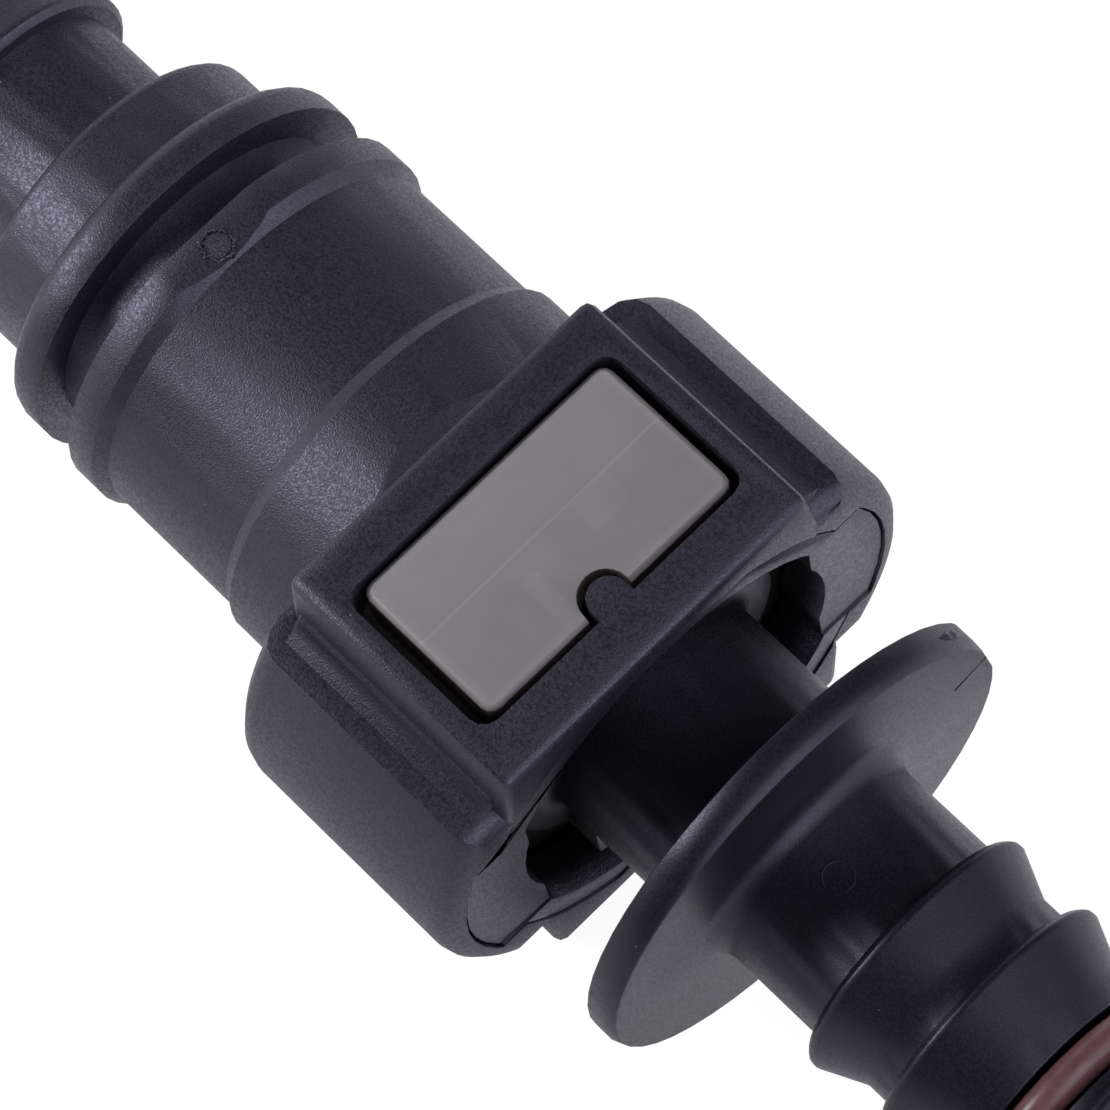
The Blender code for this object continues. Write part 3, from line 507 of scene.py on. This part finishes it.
def insert_material():
    """The front insert's black plastic, with streaks along Y."""
    return moulded_plastic(
        "insert_look",
        SOCKET_COLOR,
        rough=(0.36, 0.52),
        grain=(12.0, 0.012),
        specular=0.96,
        streaks=0.03,
    )


def plug_material():
    """The plug's black plastic, smoother and darker than the socket's."""
    return moulded_plastic(
        "plug_look",
        PLUG_COLOR,
        rough=(0.36, 0.46),
        grain=(12.0, 0.006),
        specular=0.55,
        marks=plug_marks,
    )


def inner_material():
    """The dark grey plastic of the bush and the spacer."""
    return moulded_plastic(
        "inner_look",
        INNER_COLOR,
        rough=(0.40, 0.50),
        grain=(8.0, 0.006),
        specular=0.5,
    )


def plate_light_marks(tree, x, y):
    """1 on the plate's raised line, on its strip and on its patch, paler with painted light
    through the nylon.
    """
    line = band(tree, x, *PLATE_LINE_X)
    strip = product(tree, band(tree, y, *PLATE_STRIP_Y), band(tree, x, *PLATE_STRIP_X))
    patch = product(tree, band(tree, x, *PLATE_PATCH_X), band(tree, y, *PLATE_PATCH_Y))
    return line, strip, patch


def plate_painted_light(tree, x, y, marks):
    """Painted light on the plate: a rim glow, a highlight towards its rear and more on its
    marks.
    """
    middle_x, middle_y = PLATE_MIDDLE
    half_x, half_y = PLATE_HALF
    inside_x = band(tree, x, middle_x, half_x - PLATE_RIM_WIDTH, PLATE_RIM_SOFT)
    inside_y = band(tree, y, middle_y, half_y - PLATE_RIM_WIDTH, PLATE_RIM_SOFT)
    inside = product(tree, inside_x, inside_y)
    # painted glow along the plate's rim
    rim = remap(tree, inside, PLATE_RIM_GLOW_LEVEL, 1.0, 0.0, 1.0)
    rear_end = (middle_x - half_x) * MM
    even_from = (middle_x + PLATE_REAR_REACH) * MM
    # painted highlight towards the plate's rear
    rear = remap(tree, x, PLATE_REAR_HIGHLIGHT_LEVEL, 1.0, rear_end, even_from)
    # painted light showing through the nylon on the line, strip and patch
    extra = [product(tree, mark, level) for mark, level in zip(marks, PLATE_LIGHT_MARK_LEVELS)]
    return combine(tree, "ADD", product(tree, rim, rear), combine(tree, "ADD", *extra))


def upper_wall_shade(tree, z):
    """How much dark brown painted shade a point gets: most on steep walls near the top."""
    surface = new_node(tree, "ShaderNodeNewGeometry")
    facing = new_node(tree, "ShaderNodeSeparateXYZ")
    tree.links.new(surface.outputs["Normal"], facing.inputs[0])
    steep = remap(tree, facing.outputs["Z"], WALL_SHADE_SHARE, 0.0, *WALL_SLOPES)
    near_top = remap(tree, z, 0.0, 1.0, *WALL_HEIGHTS)
    return product(tree, steep, near_top)


def nylon_material():
    """Light grey nylon letting a little light through, with painted light and shade on the
    retainer.
    """
    material, tree, shader = start_material("retainer_nylon_look")
    x, y, z = coordinates(tree)
    marks = plate_light_marks(tree, x, y)
    line = marks[0]
    # painted light on the plate, multiplied into its colour
    level = plate_painted_light(tree, x, y, marks)
    # painted shade: the retainer darker below its plate, in the shaded chamber
    under_plate_shade = remap(tree, z, UNDER_PLATE_SHADE_LEVEL, 1.0, *UNDER_PLATE_SHADE_HEIGHTS)
    cloud = remap(tree, noise(tree, NYLON_CLOUD_SCALE), *NYLON_CLOUD_LEVELS)
    face = tint(tree, NYLON_COLOR, product(tree, level, under_plate_shade, cloud))
    # painted shade, dark brown, on the retainer's upper walls
    color = mix(tree, "RGBA", upper_wall_shade(tree, z), face, NYLON_WALL_SHADE_COLOR)
    feed(tree, shader.inputs["Base Color"], color)

    gloss = remap(tree, noise(tree, NYLON_GLOSS_SCALE, detail=3), *NYLON_ROUGH)
    feed(tree, shader.inputs["Roughness"], gloss)
    dot_mark = ring_mark(tree, PLATE_DOT_PLACE, 0.0, PLATE_DOT_RADIUS)
    heights = [
        grain_bump(tree, NYLON_GRAIN),
        (line, PLATE_LINE_BUMP),
        (dot_mark, PLATE_DOT_BUMP),
    ]
    feed(tree, shader.inputs["Normal"], bump(tree, heights))
    shader.inputs["Subsurface Weight"].default_value = NYLON_DEPTH_SHARE
    shader.inputs["Subsurface Radius"].default_value = NYLON_DEPTH_COLORS
    shader.inputs["Subsurface Scale"].default_value = NYLON_DEPTH
    return material


def rubber_material(name, color, rough):
    """Smooth rubber with a faint bloom; rough is the lowest and highest roughness."""
    material, tree, shader = start_material(name)
    bloom = remap(tree, noise(tree, BLOOM_SCALE, detail=4), *BLOOM_LEVELS)
    feed(tree, shader.inputs["Base Color"], tint(tree, color, bloom))
    gloss = remap(tree, noise(tree, RUBBER_GLOSS_SCALE, detail=3), *rough)
    feed(tree, shader.inputs["Roughness"], gloss)
    feed(tree, shader.inputs["Normal"], bump(tree, [grain_bump(tree, RUBBER_GRAIN)]))
    return material


def crack_shade_material():
    """A dark strip of painted shade in place of the inside of a torn crack."""
    material, tree, shader = start_material("crack_shade_look")
    shade = remap(tree, noise(tree, CRACK_SHADE_SCALE, detail=3), *CRACK_SHADE_LEVELS)
    feed(tree, shader.inputs["Base Color"], tint(tree, CRACK_SHADE_COLOR, shade))
    shader.inputs["Roughness"].default_value = 0.8
    shader.inputs["Specular IOR Level"].default_value = 0.1
    return material


def make_materials():
    """The materials of the CAD nodes, by the names that NODE_LOOKS uses."""
    return {
        "socket": socket_material(),
        "insert": insert_material(),
        "plug": plug_material(),
        "nylon": nylon_material(),
        "inner": inner_material(),
        "seal": rubber_material("seal_look", SEAL_COLOR, rough=(0.45, 0.6)),
        "ring": rubber_material("ring_look", RING_COLOR, rough=(0.28, 0.42)),
    }


def dress(item, material):
    """Give a piece its material."""
    item.data.materials.clear()
    item.data.materials.append(material)


def smooth_node(item, bevel):
    """Weld a CAD node's split points, round its edges a little and shade it smooth."""
    weld = item.modifiers.new("weld", "WELD")
    weld.merge_threshold = WELD_DISTANCE
    flatten = item.modifiers.new("flatten", "DECIMATE")
    flatten.decimate_type = "DISSOLVE"
    flatten.angle_limit = math.radians(FLAT_DEGREES)
    if bevel:
        rounder = item.modifiers.new("round", "BEVEL")
        rounder.width = bevel
        rounder.segments = 2
        rounder.limit_method = "ANGLE"
        rounder.angle_limit = math.radians(SHARP_DEGREES)
        rounder.harden_normals = True
    item.data.shade_smooth()


def dress_nodes(nodes, materials):
    """Give every CAD node its material and its small edge rounding."""
    for name, (material, slot_name, rounding) in NODE_LOOKS.items():
        item = nodes[name]
        dress(item, materials[material])
        smooth_node(item, rounding * MM)


def floor_glow(tree, rays):
    """The floor's own white: cool in reflections, and dimmer there on one side."""
    mirrored = rays["Is Glossy Ray"]
    place = new_node(tree, "ShaderNodeTexCoord")
    flat = new_node(tree, "ShaderNodeVectorMath", operation="NORMALIZE")
    tree.links.new(place.outputs["Object"], flat.inputs[0])
    toward = alignment(tree, flat.outputs["Vector"], DIM_FLOOR_SIDE)
    level = remap(tree, toward, 1.0, DIM_FLOOR_LEVEL, *DIM_FLOOR_RANGE)
    dimming = product(tree, combine(tree, "SUBTRACT", 1.0, level), mirrored)
    lit = product(tree, combine(tree, "SUBTRACT", 1.0, dimming), FLOOR_GLOW)
    glow = new_node(tree, "ShaderNodeEmission")
    feed(tree, glow.inputs["Strength"], lit)
    feed(tree, glow.inputs["Color"], mix(tree, "RGBA", mirrored, WHITE, COOL_LIGHT))
    return glow.outputs[0]


def floor_material():
    """Pale, with a white of its own for camera, reflected and transmitted rays."""
    material, tree, shader = start_material("pale_floor")
    feed(tree, shader.inputs["Base Color"], FLOOR_COLOR)
    shader.inputs["Roughness"].default_value = 0.9
    shader.inputs["Specular IOR Level"].default_value = 0.1
    rays = new_node(tree, "ShaderNodeLightPath").outputs
    kinds = ("Is Camera Ray", "Is Transmission Ray", "Is Glossy Ray")
    seen = combine(tree, "MAXIMUM", *[rays[kind] for kind in kinds])
    mixer = new_node(tree, "ShaderNodeMixShader")
    feed(tree, mixer.inputs[0], product(tree, seen, FLOOR_GLOW_SHARE))
    feed(tree, mixer.inputs[1], shader.outputs[0])
    feed(tree, mixer.inputs[2], floor_glow(tree, rays))
    tree.links.new(mixer.outputs[0], tree.nodes["Material Output"].inputs["Surface"])
    return material


def make_floor():
    """A plain pale floor that looks white to the camera and keeps a soft shadow."""
    mesh = bpy.data.meshes.new("floor")
    shape = bmesh.new()
    bmesh.ops.create_grid(shape, x_segments=1, y_segments=1, size=FLOOR_HALF_SIZE)
    shape.to_mesh(mesh)
    shape.free()
    floor = bpy.data.objects.new("floor", mesh)
    bpy.context.scene.collection.objects.link(floor)
    floor.data.materials.append(floor_material())
    floor.location.z = FLOOR_DROP


def panel_light(tree, direction, turn, height, outer, inner, level):
    """A wide soft panel in the world, centred on a turn and height in degrees."""
    turn = math.radians(turn)
    height = math.radians(height)
    flat = math.cos(height)
    axis = (flat * math.cos(turn), flat * math.sin(turn), math.sin(height))
    fade = new_node(tree, "ShaderNodeMapRange", interpolation_type="SMOOTHSTEP")
    fade.inputs["From Min"].default_value = math.cos(math.radians(outer))
    fade.inputs["From Max"].default_value = math.cos(math.radians(inner))
    fade.inputs["To Max"].default_value = level
    feed(tree, fade.inputs["Value"], alignment(tree, direction, axis))
    return fade.outputs["Result"]


def make_world():
    """A soft studio with wide panels, white to the camera."""
    world = bpy.data.worlds.new("studio")
    bpy.context.scene.world = world
    world.use_nodes = True
    tree = world.node_tree
    direction = new_node(tree, "ShaderNodeTexCoord").outputs["Generated"]
    parts = new_node(tree, "ShaderNodeSeparateXYZ")
    tree.links.new(direction, parts.inputs[0])
    level = remap(tree, parts.outputs["Z"], SKY_LOW, SKY_HIGH, *SKY_RANGE)
    for panel in PANELS:
        level = combine(tree, "ADD", level, panel_light(tree, direction, *panel))
    seen = new_node(tree, "ShaderNodeLightPath").outputs["Is Camera Ray"]
    background = tree.nodes["Background"]
    feed(tree, background.inputs["Color"], COOL_LIGHT)
    strength = mix(tree, "FLOAT", seen, level, BACKGROUND_WHITE)
    feed(tree, background.inputs["Strength"], strength)


def make_lamp():
    """One soft square lamp, low over the socket's hose tail and aimed at the object."""
    data = bpy.data.lights.new("left_lamp", "AREA")
    data.shape = "SQUARE"
    data.size = LAMP_SIZE
    data.energy = LAMP_POWER
    lamp = bpy.data.objects.new("left_lamp", data)
    bpy.context.scene.collection.objects.link(lamp)
    lamp.location = LAMP_PLACE
    aim = Vector(LAMP_TARGET) - Vector(LAMP_PLACE)
    lamp.rotation_mode = "QUATERNION"
    lamp.rotation_quaternion = aim.to_track_quat("-Z", "Y")


def link_piece(name, shape, material, body):
    """Turn a bmesh into a visible piece that rides on a body."""
    bmesh.ops.recalc_face_normals(shape, faces=shape.faces)
    mesh = bpy.data.meshes.new(name)
    shape.to_mesh(mesh)
    shape.free()
    piece = bpy.data.objects.new(name, mesh)
    bpy.context.scene.collection.objects.link(piece)
    mesh.shade_smooth()
    dress(piece, material)
    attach(piece, body)


def loft(loops, endless=False):
    """A solid through closed loops of points in mm: last joined to first, or both capped."""
    shape = bmesh.new()
    rows = [[shape.verts.new(point * MM) for point in loop] for loop in loops]
    followers = rows[1:] + rows[:1] if endless else rows[1:]
    count = len(rows[0])
    for near, far in zip(rows, followers):
        for index in range(count):
            after = (index + 1) % count
            shape.faces.new((near[index], near[after], far[after], far[index]))
    if not endless:
        shape.faces.new(rows[0])
        shape.faces.new(rows[-1])
    return shape


def wavy(angle, level, waves):
    """A level with waves round the circle, each given as (size, count, phase)."""
    return sum((size * math.sin(count * angle + phase) for size, count, phase in waves), level)


def crumb_width(angle):
    """How wide the torn crumbs are, in mm."""
    return wavy(angle, CRUMB_WIDTH, CRUMB_WIDTH_WAVES)


def crumb_height(angle):
    """How high the torn crumbs stand, in mm."""
    return wavy(angle, CRUMB_HEIGHT, CRUMB_HEIGHT_WAVES)


def crack_width(angle):
    """How wide the crack is, in mm."""
    return CRACK_WIDTH + CRACK_OPENING * max(0.0, math.cos(angle - CRACK_SIDE))


def crack_height(_):
    """The crack's dark strip of painted shade lies level, a hair above the flat."""
    return CRACK_HEIGHT


def ragged_ring(radius, width, height, sink):
    """An uneven ring about the gate; width and height are functions of the angle."""
    center = Vector(GATE_PLACE)
    up = Vector((0, 0, 1))
    loops = [[] for _ in range(4)]
    for step in range(RING_STEPS):
        angle = 2 * math.pi * step / RING_STEPS
        turn = Vector((math.cos(angle), math.sin(angle), 0))
        inner = center + (radius + wavy(angle, 0.0, RING_WAVES)) * turn
        outer = inner + width(angle) * turn
        shoulder = RING_SHOULDER * width(angle) * turn
        rise = height(angle)
        loops[0].append(inner - sink * up)
        loops[1].append(inner + shoulder + rise * up)
        loops[2].append(outer - shoulder + RING_OUTER_RISE * rise * up)
        loops[3].append(outer - sink * up)
    return loft(loops, endless=True)


def make_gate_mark(material):
    """The torn ring that the sprue leaves on the rib's flat, with painted shade for the crack
    beside it.
    """
    crumbs = ragged_ring(GATE_RADIUS - CRUMB_INSET, crumb_width, crumb_height, CRUMB_SINK)
    link_piece("gate_mark", crumbs, material, "socket")
    crack = ragged_ring(GATE_RADIUS + CRACK_OFFSET, crack_width, crack_height, CRACK_SINK)
    # a dark strip of painted shade for the crack
    link_piece("gate_crack_shade", crack, crack_shade_material(), "socket")


def make_flange_stub(material):
    """The gate's torn stub on the flange's rim."""
    base = Vector((FLANGE_MIDDLE_X, 0, AXIS_HEIGHT))
    loops = []
    for step in range(STUB_STEPS + 1):
        share = step / STUB_STEPS
        angle = math.radians(STUB_START_DEGREES + STUB_SPAN_DEGREES * share)
        swell = math.sin(math.pi * share)
        ripple = 1 - STUB_UNEVENNESS + STUB_UNEVENNESS * math.sin(STUB_RIPPLE * share)
        lift = STUB_LIFT * swell * ripple
        half = STUB_HALF_AT_ENDS + STUB_HALF_GAIN * swell ** 0.5
        outward = Vector((0, math.cos(angle), math.sin(angle)))
        low = base + (FLANGE_RADIUS - STUB_SINK) * outward
        high = base + (FLANGE_RADIUS + lift - STUB_TOP_SINK) * outward
        across = Vector((half, 0, 0))
        top_across = across * STUB_TOP_SHARE
        loops.append([low - across, high - top_across, high + top_across, low + across])
    link_piece("flange_gate_stub", loft(loops), material, "plug")


def make_flange_line(material):
    """The raised moulding line on the flange's outer face."""
    outward = Vector((1, 0, 0))
    ends = [Vector((FLANGE_FACE_X, *end)) for end in FACE_LINE_ENDS]
    across = (ends[1] - ends[0]).cross(outward).normalized() * FACE_LINE_HALF
    top_across = FACE_LINE_TOP_SHARE * across
    loops = []
    for end in ends:
        foot = end - FACE_LINE_RISE * outward
        top = end + FACE_LINE_RISE * outward
        loops.append([foot - across, top - top_across, top + top_across, foot + across])
    link_piece("flange_face_line", loft(loops), material, "plug")


def main():
    """Build the scene."""
    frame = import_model()
    bpy.context.scene.view_settings.view_transform = "Standard"

    make_camera()
    make_world()
    make_lamp()
    make_floor()

    materials = make_materials()
    dress_nodes(frame["nodes"], materials)
    make_gate_mark(materials["socket"])
    make_flange_stub(materials["plug"])
    make_flange_line(materials["plug"])


main()
